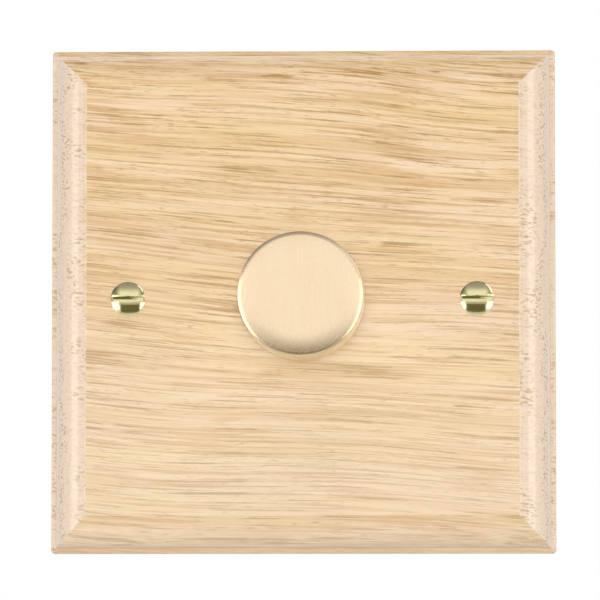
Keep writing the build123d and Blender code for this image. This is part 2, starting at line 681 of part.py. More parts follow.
def circuit_board():
    half_x = INNER_WIDTH / 2 - BOARD_GAP
    half_z = INNER_HEIGHT / 2 - BOARD_GAP
    outline = Rectangle(2 * half_x, 2 * half_z)
    reach = POST_D / 2 + BOARD_GAP
    for x, z in POST_AT:
        side_x = math.copysign(1, x)
        side_z = math.copysign(1, z)
        far_x = x + side_x * POST_INSET
        far_z = z + side_z * POST_INSET
        near_x = x - side_x * reach
        near_z = z - side_z * reach
        notch = Rectangle(abs(far_x - near_x), abs(far_z - near_z))
        outline -= Pos((far_x + near_x) / 2, (far_z + near_z) / 2) * notch
    outline -= Circle(SPINDLE_R + BOARD_GAP)
    outline -= [Pos(*at) * Circle(TRACK_PIN_D / 2 + SCREW_FIT) for at in TRACK_PIN_AT]
    outline -= [Pos(*at) * Circle(PIN_D / 2 + SCREW_FIT) for at in component_pins()]
    slot = Rectangle(LEAD_WIDTH + 2 * SCREW_FIT, LEAD_THICK + 2 * SCREW_FIT)
    outline -= [Pos(x, LEAD_Z - LEAD_THICK / 2) * slot for x in LEAD_X]
    leg = Rectangle(CONTACT_THICK + 2 * SCREW_FIT, BRIDGE_WIDTH + 2 * SCREW_FIT)
    leg_x = SWITCH_INNER - CONTACT_THICK / 2
    outline -= [Pos(side * leg_x, 0) * leg for side in (-1, 1)]
    return slab(outline, BOARD_FRONT, BOARD_BACK)


def with_pins(body, places):
    """A part with round pins that reach forward through the board."""
    for at in places:
        body += rod(PIN_D / 2, BOARD_FRONT, BOARD_BACK, at)
    return body


def film_capacitor():
    x, z = FILM_AT
    box = block(x - FILM_WIDTH / 2, x + FILM_WIDTH / 2, BOARD_BACK, TALL_PART_BACK,
                z - FILM_HEIGHT / 2, z + FILM_HEIGHT / 2)
    box = fillet(box.edges().group_by(Axis.Y)[-1], FILM_HEIGHT / 12)
    return with_pins(box, pin_pair(FILM_AT, FILM_PIN_SPREAD))


def smoothing_capacitor():
    radius = SMOOTHING_D / 2
    bead = radius / 8
    neck = BOARD_BACK + 3 * bead
    can = turned([
        (0, BOARD_BACK), (radius, BOARD_BACK), (radius, neck - bead), (radius - bead, neck),
        (radius, neck + bead), (radius, TALL_PART_BACK - bead), (radius - bead, TALL_PART_BACK),
        (0, TALL_PART_BACK),
    ])
    return with_pins(place(can, SMOOTHING_AT), pin_pair(SMOOTHING_AT, ROUND_PIN_SPREAD))


def choke_core():
    radius = CHOKE_D / 2
    waist = CHOKE_WAIST_D / 2
    spool = turned([
        (0, BOARD_BACK), (radius, BOARD_BACK), (radius, BOARD_BACK + CHOKE_FLANGE),
        (waist, BOARD_BACK + CHOKE_FLANGE), (waist, TALL_PART_BACK - CHOKE_FLANGE),
        (radius, TALL_PART_BACK - CHOKE_FLANGE), (radius, TALL_PART_BACK), (0, TALL_PART_BACK),
    ])
    return with_pins(place(spool, CHOKE_AT), pin_pair(CHOKE_AT, ROUND_PIN_SPREAD))


def choke_winding():
    ring = Circle(CHOKE_D / 2 - RUNNING_GAP) - Circle(CHOKE_WAIST_D / 2 + SEAT_FIT)
    front = BOARD_BACK + CHOKE_FLANGE + SEAT_FIT
    return place(slab(ring, front, TALL_PART_BACK - CHOKE_FLANGE - SEAT_FIT), CHOKE_AT)


def fuse_link():
    body = rod(FUSE_D / 2, BOARD_BACK, TALL_PART_BACK)
    body = chamfer(body.edges().sort_by(Axis.Y)[-1:], FUSE_EDGE)
    return with_pins(place(body, FUSE_AT), pin_pair(FUSE_AT, ROUND_PIN_SPREAD))


def control_chip():
    x, z = CHIP_AT
    lead = CHIP_THICK / 6
    body = block(x - CHIP_WIDTH / 2, x + CHIP_WIDTH / 2, BOARD_BACK + lead,
                 BOARD_BACK + CHIP_THICK + lead, z - CHIP_HEIGHT / 2, z + CHIP_HEIGHT / 2)
    for n in range(CHIP_LEADS):
        lead_x = x + (n - (CHIP_LEADS - 1) / 2) * CHIP_LEAD_PITCH
        for side in (-1, 1):
            near = z + side * (CHIP_HEIGHT / 2 - lead)
            far = z + side * (CHIP_HEIGHT / 2 + 4 * lead)
            body += block(lead_x - lead, lead_x + lead, BOARD_BACK, BOARD_BACK + 2 * lead,
                          min(near, far), max(near, far))
    return body


def mosfet_tabs():
    top = MOSFET_BOTTOM + MOSFET_BODY + MOSFET_TAB
    plate = block(-MOSFET_WIDTH / 2, MOSFET_WIDTH / 2, SINK_BACK, SINK_BACK + TAB_THICK,
                  MOSFET_BOTTOM, top)
    plate = chamfer(plate.edges().filter_by(Axis.Y).group_by(Axis.Z)[-1], MOSFET_TAB / 6)
    plate -= rod(MOSFET_SCREW_D / 2 + SLIDE_FIT, SINK_BACK, SINK_BACK + TAB_THICK, (0, MOSFET_HOLE_Z))
    return spread(plate, [(x, 0) for x in MOSFET_AT])


def mosfet_bodies():
    body = block(-MOSFET_WIDTH / 2, MOSFET_WIDTH / 2, SINK_BACK + TAB_THICK,
                 SINK_BACK + MOSFET_THICK, MOSFET_BOTTOM, MOSFET_BOTTOM + MOSFET_BODY)
    body = chamfer(body.edges().group_by(Axis.Y)[-1], TAB_THICK / 3)
    return spread(body, [(x, 0) for x in MOSFET_AT])


def mosfet_leads():
    front = SINK_BACK + (TAB_THICK + MOSFET_THICK) / 2
    drop = block(-LEAD_WIDTH / 2, LEAD_WIDTH / 2, front, front + LEAD_THICK, LEAD_Z, MOSFET_BOTTOM)
    foot = block(-LEAD_WIDTH / 2, LEAD_WIDTH / 2, front, BOARD_BACK, LEAD_Z - LEAD_THICK, LEAD_Z)
    return spread(drop + foot, [(x, 0) for x in LEAD_X])


def mosfet_screws():
    under = SINK_BACK + TAB_THICK
    screw = round_head(MOSFET_SCREW_HEAD_D / 2, under, MOSFET_SCREW_HEAD)
    screw += rod(MOSFET_SCREW_D / 2, SUPPORT_BACK, under)
    return spread(screw, [(x, MOSFET_HOLE_Z) for x in MOSFET_AT])


def switch_base():
    leg = Rectangle(CONTACT_THICK + SCREW_FIT, BRIDGE_WIDTH + 2 * SCREW_FIT)
    leg_x = SWITCH_INNER - (CONTACT_THICK + SCREW_FIT) / 2
    outline = Rectangle(SWITCH_SIDE, SWITCH_SIDE) - Circle(NOSE_D / 2 + SLIDE_FIT)
    outline -= [Pos(side * leg_x, 0) * leg for side in (-1, 1)]
    return slab(outline, BOARD_BACK, BOARD_BACK + SWITCH_BASE)


def switch_cover():
    front = BOARD_BACK + SWITCH_BASE
    cup = slab(Rectangle(SWITCH_SIDE, SWITCH_SIDE), front, SWITCH_BACK)
    cup = fillet(cup.edges().group_by(Axis.Y)[-1], SWITCH_WALL / 2)
    return cup - slab(Rectangle(2 * SWITCH_INNER, 2 * SWITCH_INNER), front, COVER_FLOOR)


def switch_plunger():
    nose = NOSE_D / 2
    flange = PLUNGER_FLANGE_D / 2
    stem = PLUNGER_STEM_D / 2
    stem_end = BRIDGE_FRONT + PLUNGER_STEM
    return turned([
        (0, NOSE_TIP), (nose, NOSE_TIP), (nose, FLANGE_FRONT), (flange, FLANGE_FRONT),
        (flange, BRIDGE_FRONT), (stem, BRIDGE_FRONT), (stem, stem_end), (0, stem_end),
    ])


def moving_contact():
    strip = Rectangle(BRIDGE_LENGTH, BRIDGE_WIDTH) - Circle(PLUNGER_STEM_D / 2 + SCREW_FIT)
    bridge = slab(strip, BRIDGE_FRONT, BRIDGE_BACK)
    for side in (-1, 1):
        bridge += rod(STUD_D / 2, BRIDGE_BACK, BRIDGE_BACK + STUD_HEIGHT, (side * STUD_SPREAD, 0))
    return bridge


def fixed_contacts():
    wall = SWITCH_INNER
    half = BRIDGE_WIDTH / 2
    pad = block(wall - CONTACT_REACH, wall, CONTACT_FRONT, CONTACT_FRONT + CONTACT_THICK, -half, half)
    leg = block(wall - CONTACT_THICK, wall, BOARD_FRONT, CONTACT_FRONT, -half, half)
    right = (pad + leg).solid()
    return Compound(children=[right, mirror(right, Plane.YZ).solid()])


def return_spring():
    wire = SPRING_WIRE / 2
    low = BRIDGE_BACK + wire + SEAT_FIT
    height = COVER_FLOOR - wire - SEAT_FIT - low
    radius = SPRING_D / 2 - wire
    path = Helix(height / SPRING_TURNS, height, radius)
    section = Plane(path @ 0, z_dir=path % 0) * RegularPolygon(wire, 6)
    coil = sweep(section, path=path, is_frenet=True)
    return Pos(0, low, 0) * Rot(-90, 0, 0) * coil


def terminal_block():
    half = BLOCK_WIDTH / 2
    body = block(-half, half, BOARD_BACK, CASE_BACK, BLOCK_LOW, BLOCK_HIGH)
    for x in CAGE_X:
        pocket_half = CAGE_WIDTH / 2 + CAGE_FIT
        body -= block(x - pocket_half, x + pocket_half, BOARD_BACK, CAGE_BACK + CAGE_FIT,
                      BLOCK_LOW, CAGE_LOW + CAGE_HEIGHT + CAGE_FIT)
        body -= rod(PINCH_WELL_D / 2, CAGE_BACK, CASE_BACK, (x, CAGE_MID_Z))
    return body


def terminal_cages():
    body = cage(CAGE_WIDTH, CAGE_HEIGHT, BOARD_BACK, CAGE_BACK, WIRE_Y)
    body += rod(PIN_D / 2, BOARD_FRONT, BOARD_BACK)
    return spread(body, CAGE_AT)


def terminal_screws():
    screw = pinch_screw(WIRE_Y + WIRE_HOLE_D / 2)
    return spread(screw, CAGE_AT)


PIECES = [
    front_plate, fixing_screws, support_plate, plate_screws, earth_terminal, earth_screw,
    mounting_bush, bush_nut, bush_washer, knob_cap, knob_core, knob_spring, spindle, spindle_clip,
    control_housing, wiper_rotor, wiper_contact, track_plate, track_pins, heat_sink, case_screws,
    rear_case, circuit_board, film_capacitor, smoothing_capacitor, choke_core, choke_winding,
    fuse_link, control_chip, mosfet_tabs, mosfet_bodies, mosfet_leads, mosfet_screws, switch_base,
    switch_cover, switch_plunger, moving_contact, fixed_contacts, return_spring, terminal_block,
    terminal_cages, terminal_screws,
]

os.makedirs("parts", exist_ok=True)
for piece in PIECES:
    export_step(piece(), os.path.join("parts", piece.__name__ + ".step"))
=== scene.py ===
import math
import bmesh
import bpy
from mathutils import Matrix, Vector

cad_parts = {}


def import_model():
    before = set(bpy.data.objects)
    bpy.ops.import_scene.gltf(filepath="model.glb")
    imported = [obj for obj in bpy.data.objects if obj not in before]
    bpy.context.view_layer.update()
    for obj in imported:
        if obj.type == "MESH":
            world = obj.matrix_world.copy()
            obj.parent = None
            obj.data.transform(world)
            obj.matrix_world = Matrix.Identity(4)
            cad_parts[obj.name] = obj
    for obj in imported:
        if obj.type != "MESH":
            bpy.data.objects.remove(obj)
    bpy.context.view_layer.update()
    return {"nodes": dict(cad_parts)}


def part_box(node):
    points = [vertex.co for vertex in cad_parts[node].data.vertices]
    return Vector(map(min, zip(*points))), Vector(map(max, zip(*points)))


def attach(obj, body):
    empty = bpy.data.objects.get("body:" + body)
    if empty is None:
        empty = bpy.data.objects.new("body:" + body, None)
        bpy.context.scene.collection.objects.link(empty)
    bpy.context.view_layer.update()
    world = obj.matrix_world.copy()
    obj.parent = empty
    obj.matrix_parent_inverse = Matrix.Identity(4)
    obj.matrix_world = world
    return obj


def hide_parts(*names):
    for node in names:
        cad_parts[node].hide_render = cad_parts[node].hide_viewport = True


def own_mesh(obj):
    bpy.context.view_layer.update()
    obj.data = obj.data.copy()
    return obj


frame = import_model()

# Looks of a push-and-turn dimmer on a moulded oak plate, in metres.
# X runs to the right and Z up as it hangs. Y = 0 is the wall, and the front faces -Y.

MM = 0.001
PLATE_LOW, PLATE_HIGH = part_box("front_plate")
SUPPORT_LOW, SUPPORT_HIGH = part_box("support_plate")
SCREW_TIP_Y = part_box("fixing_screws")[1].y
SPRING_LOW, SPRING_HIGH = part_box("return_spring")
WINDING_LOW, WINDING_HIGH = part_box("choke_winding")

# Plate section, as in the solid, and the small rounding that the lacquer leaves on each arris
PLATE_HALF = PLATE_HIGH.x
FIELD_Y = PLATE_LOW.y
EDGE_HEIGHT = 3.8 * MM
LEDGE_WIDTH = 0.9 * MM
OVOLO_RADIUS = 5.4 * MM
OVOLO_START = -88
QUIRK_HEIGHT = 0.4 * MM
CORNER_ROUND = 0.6 * MM
SHARPEST_CORNER = 0.02 * MM
ARRIS_ROUND = 0.13 * MM
LEDGE_ROUND = 0.35 * MM
QUIRK_ROUND = 0.12 * MM

# Pocket for the steel plate, well for the nut, and screw holes
SUPPORT_FIT = 0.5 * MM
POCKET_HALF = SUPPORT_HIGH.x + SUPPORT_FIT
POCKET_Y = SUPPORT_LOW.y
POCKET_CORNER = 6.0 * MM
NUT_ACROSS = 14.0 * MM
NUT_CLEARANCE = 1.1 * MM
NUT_WELL_RADIUS = NUT_ACROSS / math.sqrt(3) + NUT_CLEARANCE
WOOD_SCREW_INSET = 5.2 * MM
WOOD_SCREW_AT = POCKET_HALF - WOOD_SCREW_INSET
WOOD_SCREW_HOLE = 1.25 * MM
WOOD_SCREW_NECK = -6.6 * MM
WOOD_SCREW_TIP = -8.05 * MM
FIXING_HOLE = 2.0 * MM

# Fixing screws: raised slotted heads on a machine thread. Head, shank and thread are radii
FIXING_PITCH = 60.3 * MM
FIXING_AT = FIXING_PITCH / 2
FIXING_HEAD = 3.0 * MM
FIXING_RISE = 0.7 * MM
FIXING_SHANK = 1.5 * MM
FIXING_THREAD = 1.75 * MM
FIXING_EDGE_ROUND = 0.07 * MM
SLOT_WIDTH = 0.9 * MM
SLOT_DEPTH = 1.1 * MM
SLOT_REACH = 1.2 * FIXING_HEAD
THREAD_START_Y = -0.02 * MM
THREAD_PITCH = 0.6 * MM
THREAD_DEPTH = 0.34 * MM

# Return spring and choke winding
SPRING_WIRE_RADIUS = 0.25 * MM
SPRING_TURNS = 5.0
SPRING_DEAD_TURNS = 0.9
WINDING_WIRE_RADIUS = 0.28 * MM

# Steps of arcs and turns, and sides of round forms
ROUND_STEPS = 5
BACK_ROUND_STEPS = 4
OVOLO_STEPS = 28
DOME_STEPS = 14
CORNER_STEPS = 6
POCKET_CORNER_STEPS = 12
EDGE_ROUND_STEPS = 2
TURN_STEPS = 32
THREAD_ROWS = 10
THREAD_SIDES = 36
HEAD_SIDES = 72
HOLE_SIDES = 48
WELL_SIDES = 96
WOOD_SCREW_SIDES = 24
SPRING_SIDES = 10
WINDING_SIDES = 8

# Faces that meet at less than this angle are shaded smooth, and points nearer than this are on an axis
SMOOTH_ANGLE = math.radians(35)
AXIS_RADIUS = 1e-7

# Oak: tilt of the grain in degrees, and in millimetres its waviness, the board's half and the ledge
GRAIN_TURN = (0, -4.0, 0)
GRAIN_BEND = 9.0
BOARD_HALF = 44.0
LEDGE_AT = (PLATE_HALF - LEDGE_WIDTH) / MM
LEDGE_BLEND = 0.3

# Height of the fine relief in the finishes
GRIT_HEIGHT = 0.02 * MM
PORE_HEIGHT = 0.03 * MM

# Camera, as fitted to the photograph's outlines in a 600 pixel frame
FRAME_PIXELS = 600
FOCAL_PIXELS = 5213
SENSOR = 36.0
CAMERA_NEAR = 0.01
CAMERA_DISTANCE = 0.9
CAMERA_AZIMUTH = 1.8
CAMERA_ELEVATION = -4.1
CAMERA_TARGET = Vector((-0.40 * MM, FIELD_Y, -0.20 * MM))

# Lamps: distance and size in metres, angles from the plate's front in degrees, power in watts
SOFTBOX_DISTANCE = 0.7
SOFTBOX_AZIMUTH = 45.0
SOFTBOX_ELEVATION = -9.5
SOFTBOX_WIDTH = 0.30
SOFTBOX_HEIGHT = 0.61
SOFTBOX_POWER = 1.16
FILL_DISTANCE = 1.2
FILL_AZIMUTH = 1.8
FILL_ELEVATION = -3.0
FILL_SIZE = 0.06
FILL_POWER = 7.5
EDGE_LAMP_DISTANCE = 0.7
EDGE_LAMP_AZIMUTH = 75.0
EDGE_LAMP_ELEVATION = 5.0
EDGE_LAMP_SIZE = 0.5
EDGE_LAMP_POWER = 0.6
EDGE_GLOSS_POWER = 0.7
RIM_LAMP_AZIMUTH = 58.0
RIM_LAMP_ELEVATION = 31.0
RIM_LAMP_SIZE = 0.30
RIM_LAMP_POWER = 0.45
TOP_LAMP_ELEVATION = 72.0
TOP_LAMP_POWER = 1.3

# Stage: a pale floor, and a dark flag low in front that only reflections show
FLOOR_Z = -0.3
FLOOR_HALF = 3.0
FLOOR_SHADE = (0.78, 0.78, 0.78)
FLOOR_GLOW = 0.5
FLOOR_GLOW_MIRRORED = 0.3
FLAG_DISTANCE = 0.4
FLAG_ELEVATION = -24.5
FLAG_HALF_WIDTH = 0.21
FLAG_HALF_HEIGHT = 0.087
FLAG_SHADE = (0.15, 0.14, 0.06)

# White backdrop, which takes over from the studio between these sines of the angle behind the plate
BACKDROP_LEVEL = 1.0
BACKDROP_FROM = -0.1
BACKDROP_TO = 0.3
# Brightness of the studio in front by height: (sine of the elevation, level)
STUDIO_LEVELS = [(-1.0, 0.68), (-0.25, 0.66), (-0.05, 1.07), (0.40, 1.10), (0.60, 0.48), (1.0, 0.25)]
# It falls to this share of it at the sides, between these sines of the angle from the front
STUDIO_SIDE = 0.22
STUDIO_SIDE_FROM = 0.42
STUDIO_SIDE_TO = 0.62
# Share of it that lights dull surfaces, which the fill lights from beside the camera
STUDIO_DULL = 0.5


def direction(azimuth, elevation):
    """Unit vector from the plate, with azimuth 0 straight out of its front and 90 to its right."""
    a = math.radians(azimuth)
    e = math.radians(elevation)
    return Vector((math.sin(a) * math.cos(e), -math.cos(a) * math.cos(e), math.sin(e)))


# Mesh helpers

def link(name, data):
    """A new object in the scene."""
    obj = bpy.data.objects.new(name, data)
    bpy.context.scene.collection.objects.link(obj)
    return obj


def add_object(name, bm):
    """A new object from a bmesh, shaded smooth between faces that meet at a small angle."""
    bmesh.ops.recalc_face_normals(bm, faces=bm.faces)
    mesh = bpy.data.meshes.new(name)
    bm.to_mesh(mesh)
    bm.free()
    mesh.shade_smooth()
    mesh.set_sharp_from_angle(angle=SMOOTH_ANGLE)
    return link(name, mesh)


def bridge(bm, first, second):
    """Quads between two closed loops of as many vertices."""
    count = len(first)
    for n in range(count):
        m = (n + 1) % count
        bm.faces.new((first[n], first[m], second[m], second[n]))


def cone(bm, tip, ring):
    """Triangles from a point to a closed loop."""
    count = len(ring)
    for n in range(count):
        bm.faces.new((tip, ring[n], ring[(n + 1) % count]))


def tube(bm, rings):
    """A skin over closed loops in a row, with a face on both ends."""
    bm.faces.new(rings[0])
    for first, second in zip(rings, rings[1:]):
        bridge(bm, first, second)
    bm.faces.new(rings[-1])


def loop_edges(bm, loop):
    """The edges of a closed loop, made where they don't exist yet."""
    return [bm.edges.get((loop[n - 1], loop[n])) or bm.edges.new((loop[n - 1], loop[n]))
            for n in range(len(loop))]


def fill(bm, *loops):
    """A flat face inside the first loop, with the others as holes."""
    edges = [edge for loop in loops for edge in loop_edges(bm, loop)]
    bmesh.ops.triangle_fill(bm, use_beauty=True, edges=edges)


def circle(bm, radius, y, at=(0.0, 0.0), count=HOLE_SIDES):
    """A round loop about an axis along Y."""
    step = 2 * math.pi / count
    return [bm.verts.new((at[0] + radius * math.cos(n * step), y, at[1] + radius * math.sin(n * step)))
            for n in range(count)]


def rounded_square(bm, half, corner, y, count=CORNER_STEPS):
    """A square loop about the Y axis, its corners rounded and each made of count + 1 vertices."""
    loop = []
    for turn in range(4):
        cos = (1, 0, -1, 0)[turn]
        sin = (0, 1, 0, -1)[turn]
        for n in range(count + 1):
            a = math.pi / 2 * n / count
            x = half - corner + corner * math.cos(a)
            z = half - corner + corner * math.sin(a)
            loop.append(bm.verts.new((x * cos - z * sin, y, x * sin + z * cos)))
    return loop


def arc(centre, radius, start, end, count):
    """Points of an arc, angles in degrees, as (distance from the axis, y)."""
    points = []
    for n in range(count + 1):
        a = math.radians(start + (end - start) * n / count)
        points.append((centre[0] + radius * math.cos(a), centre[1] + radius * math.sin(a)))
    return points


def revolve(bm, profile, at, count):
    """A surface turned about an axis along Y from (radius, y) points that start and end on it."""
    loops = []
    for radius, y in profile:
        if radius < AXIS_RADIUS:
            loops.append([bm.verts.new((at[0], y, at[1]))])
        else:
            loops.append(circle(bm, radius, y, at, count))
    cone(bm, loops[0][0], loops[1])
    for first, second in zip(loops[1:-1], loops[2:-1]):
        bridge(bm, first, second)
    cone(bm, loops[-1][0], loops[-2])


def box_object(name, low, high):
    """A box between two corners."""
    bm = bmesh.new()
    bmesh.ops.create_cube(bm, size=1.0)
    for vert in bm.verts:
        for axis in range(3):
            vert.co[axis] = low[axis] if vert.co[axis] < 0 else high[axis]
    return add_object(name, bm)


def bake_modifiers(obj):
    """Replaces an object's mesh by what its modifiers make of it."""
    graph = bpy.context.evaluated_depsgraph_get()
    mesh = bpy.data.meshes.new_from_object(obj.evaluated_get(graph))
    obj.modifiers.clear()
    obj.data = mesh


def cut(obj, cutter):
    """Takes one mesh out of another."""
    modifier = obj.modifiers.new("cut", "BOOLEAN")
    modifier.operation = "DIFFERENCE"
    modifier.solver = "EXACT"
    modifier.object = cutter
    bake_modifiers(obj)
    bpy.data.objects.remove(cutter)


def round_edges(obj, width, segments):
    """Rounds the edges where faces meet at more than a small angle."""
    modifier = obj.modifiers.new("round", "BEVEL")
    modifier.width = width
    modifier.segments = segments
    modifier.limit_method = "ANGLE"
    modifier.angle_limit = SMOOTH_ANGLE
    modifier.harden_normals = True
    bake_modifiers(obj)


# Oak plate

def plate_profile():
    """Half of the plate's section, from the field over the moulding to the back."""
    foot = PLATE_HALF - LEDGE_WIDTH
    field = foot - OVOLO_RADIUS
    quirk = FIELD_Y + QUIRK_HEIGHT
    ledge = -EDGE_HEIGHT
    side = PLATE_HALF - LEDGE_ROUND
    profile = [(field - 2 * ARRIS_ROUND, FIELD_Y)]
    profile += arc((field - ARRIS_ROUND, FIELD_Y + ARRIS_ROUND), ARRIS_ROUND, -90, 0, ROUND_STEPS)
    profile += [(field, quirk - QUIRK_ROUND / 2)]
    profile += arc((field, quirk + OVOLO_RADIUS), OVOLO_RADIUS, OVOLO_START, 0, OVOLO_STEPS)
    profile += [(foot, ledge)]
    profile += arc((side, ledge + LEDGE_ROUND), LEDGE_ROUND, -90, 0, ROUND_STEPS)
    profile += arc((side, -LEDGE_ROUND), LEDGE_ROUND, 0, 90, BACK_ROUND_STEPS)
    return profile


def fixing_hole(bm, side):
    """A countersunk hole through the field: its loops at the front and in the pocket."""
    at = (side * FIXING_AT, 0.0)
    mouth = circle(bm, FIXING_HEAD, FIELD_Y, at)
    neck = circle(bm, FIXING_HOLE, FIELD_Y + FIXING_HEAD - FIXING_HOLE, at)
    back = circle(bm, FIXING_HOLE, POCKET_Y, at)
    bridge(bm, mouth, neck)
    bridge(bm, neck, back)
    return mouth, back


def wood_screw_hole(bm, at):
    """A blind pointed hole in the pocket's floor: its mouth."""
    mouth = circle(bm, WOOD_SCREW_HOLE, POCKET_Y, at, WOOD_SCREW_SIDES)
    neck = circle(bm, WOOD_SCREW_HOLE, WOOD_SCREW_NECK, at, WOOD_SCREW_SIDES)
    tip = bm.verts.new((at[0], WOOD_SCREW_TIP, at[1]))
    bridge(bm, mouth, neck)
    cone(bm, tip, neck)
    return mouth


def oak_plate():
    """The moulded plate with its arrises eased, its pocket and every hole."""
    bm = bmesh.new()
    loops = []
    for half, y in plate_profile():
        corner = max(CORNER_ROUND - (PLATE_HALF - half), SHARPEST_CORNER)
        loops.append(rounded_square(bm, half, corner, y))
    for first, second in zip(loops, loops[1:]):
        bridge(bm, first, second)
    pocket_mouth = rounded_square(bm, POCKET_HALF, POCKET_CORNER, 0, POCKET_CORNER_STEPS)
    pocket_floor = rounded_square(bm, POCKET_HALF, POCKET_CORNER, POCKET_Y, POCKET_CORNER_STEPS)
    bridge(bm, pocket_mouth, pocket_floor)
    fill(bm, loops[-1], pocket_mouth)
    well_top = circle(bm, NUT_WELL_RADIUS, FIELD_Y, count=WELL_SIDES)
    well_floor = circle(bm, NUT_WELL_RADIUS, POCKET_Y, count=WELL_SIDES)
    bridge(bm, well_top, well_floor)
    front_holes = [well_top]
    back_holes = [well_floor]
    for side in (-1, 1):
        mouth, back = fixing_hole(bm, side)
        front_holes.append(mouth)
        back_holes.append(back)
    for x in (-WOOD_SCREW_AT, WOOD_SCREW_AT):
        for z in (-WOOD_SCREW_AT, WOOD_SCREW_AT):
            back_holes.append(wood_screw_hole(bm, (x, z)))
    fill(bm, loops[0], *front_holes)
    fill(bm, pocket_floor, *back_holes)
    return add_object("oak_plate", bm)


# Fixing screws

def screw_thread(bm, at):
    """A helical V thread from behind the plate to the screw's tip, fading out at both ends."""
    length = SCREW_TIP_Y - THREAD_START_Y
    rows = int(length / THREAD_PITCH * THREAD_ROWS)
    root = FIXING_THREAD - THREAD_DEPTH
    rings = []
    for row in range(rows + 1):
        y = THREAD_START_Y + length * row / rows
        turns = (y - THREAD_START_Y) / THREAD_PITCH
        fade = max(min(1.0, turns, (SCREW_TIP_Y - y) / THREAD_PITCH), 0.0)
        ring = []
        for n in range(THREAD_SIDES):
            phase = (turns - n / THREAD_SIDES) % 1.0
            r = root + THREAD_DEPTH * (1 - abs(2 * phase - 1)) * fade
            a = 2 * math.pi * n / THREAD_SIDES
            ring.append(bm.verts.new((at[0] + r * math.cos(a), y, at[1] + r * math.sin(a))))
        rings.append(ring)
    tube(bm, rings)


def fixing_screw(side):
    """A raised slotted countersunk screw with a cut thread."""
    at = (side * FIXING_AT, 0.0)
    dome_radius = (FIXING_HEAD ** 2 + FIXING_RISE ** 2) / (2 * FIXING_RISE)
    half_angle = math.degrees(math.asin(FIXING_HEAD / dome_radius))
    top = FIELD_Y - FIXING_RISE
    profile = [(0.0, top)]
    profile += arc((0.0, top + dome_radius), dome_radius, -90, -90 + half_angle, DOME_STEPS)[1:]
    profile += [(FIXING_SHANK, FIELD_Y + FIXING_HEAD - FIXING_SHANK), (FIXING_SHANK, 0.0), (0.0, 0.0)]
    bm = bmesh.new()
    revolve(bm, profile, at, HEAD_SIDES)
    head = add_object("fixing_screw", bm)
    slot = box_object("slot", (at[0] - SLOT_REACH, top - SLOT_REACH, -SLOT_WIDTH / 2),
                      (at[0] + SLOT_REACH, top + SLOT_DEPTH, SLOT_WIDTH / 2))
    cut(head, slot)
    round_edges(head, FIXING_EDGE_ROUND, EDGE_ROUND_STEPS)
    bm = bmesh.new()
    bm.from_mesh(head.data)
    bpy.data.objects.remove(head)
    screw_thread(bm, at)
    return add_object("fixing_screw_left" if side < 0 else "fixing_screw_right", bm)


# Wire pieces

def wire_tube(name, path, radius, sides):
    """A round wire along a list of points, closed at both ends."""
    bm = bmesh.new()
    rings = []
    for n, point in enumerate(path):
        ahead = path[min(n + 1, len(path) - 1)]
        behind = path[max(n - 1, 0)]
        along = (ahead - behind).normalized()
        across = along.cross(Vector((0, 1, 0))).normalized()
        up = across.cross(along)
        ring = []
        for k in range(sides):
            a = 2 * math.pi * k / sides
            ring.append(bm.verts.new(point + (across * math.cos(a) + up * math.sin(a)) * radius))
        rings.append(ring)
    tube(bm, rings)
    return add_object(name, bm)


def spring():
    """A coil spring with closed end turns."""
    radius = (SPRING_HIGH.x - SPRING_LOW.x) / 2 - SPRING_WIRE_RADIUS
    low = SPRING_LOW.y + SPRING_WIRE_RADIUS
    high = SPRING_HIGH.y - SPRING_WIRE_RADIUS
    dead = SPRING_DEAD_TURNS / SPRING_TURNS
    dead_rise = 2 * SPRING_WIRE_RADIUS / (high - low)
    path = []
    steps = int(SPRING_TURNS * TURN_STEPS)
    for n in range(steps + 1):
        t = n / steps
        if t < dead:
            rise = dead_rise * t / dead
        elif t > 1 - dead:
            rise = 1 - dead_rise * (1 - t) / dead
        else:
            rise = dead_rise + (1 - 2 * dead_rise) * (t - dead) / (1 - 2 * dead)
        a = 2 * math.pi * SPRING_TURNS * t
        path.append(Vector((radius * math.cos(a), low + (high - low) * rise, radius * math.sin(a))))
    return wire_tube("coil_spring", path, SPRING_WIRE_RADIUS, SPRING_SIDES)


def choke_coil():
    """Turns of enamelled wire wound on the choke's spool."""
    middle = (WINDING_LOW + WINDING_HIGH) / 2
    radius = (WINDING_HIGH.x - WINDING_LOW.x) / 2 - WINDING_WIRE_RADIUS
    length = WINDING_HIGH.y - WINDING_LOW.y
    turns = int(length / (2 * WINDING_WIRE_RADIUS))
    steps = turns * TURN_STEPS
    path = []
    for n in range(steps + 1):
        t = n / steps
        a = 2 * math.pi * turns * t
        y = WINDING_LOW.y + WINDING_WIRE_RADIUS + (length - 2 * WINDING_WIRE_RADIUS) * t
        path.append(Vector((middle.x + radius * math.cos(a), y, middle.z + radius * math.sin(a))))
    return wire_tube("choke_wire", path, WINDING_WIRE_RADIUS, WINDING_SIDES)


# Shader helpers

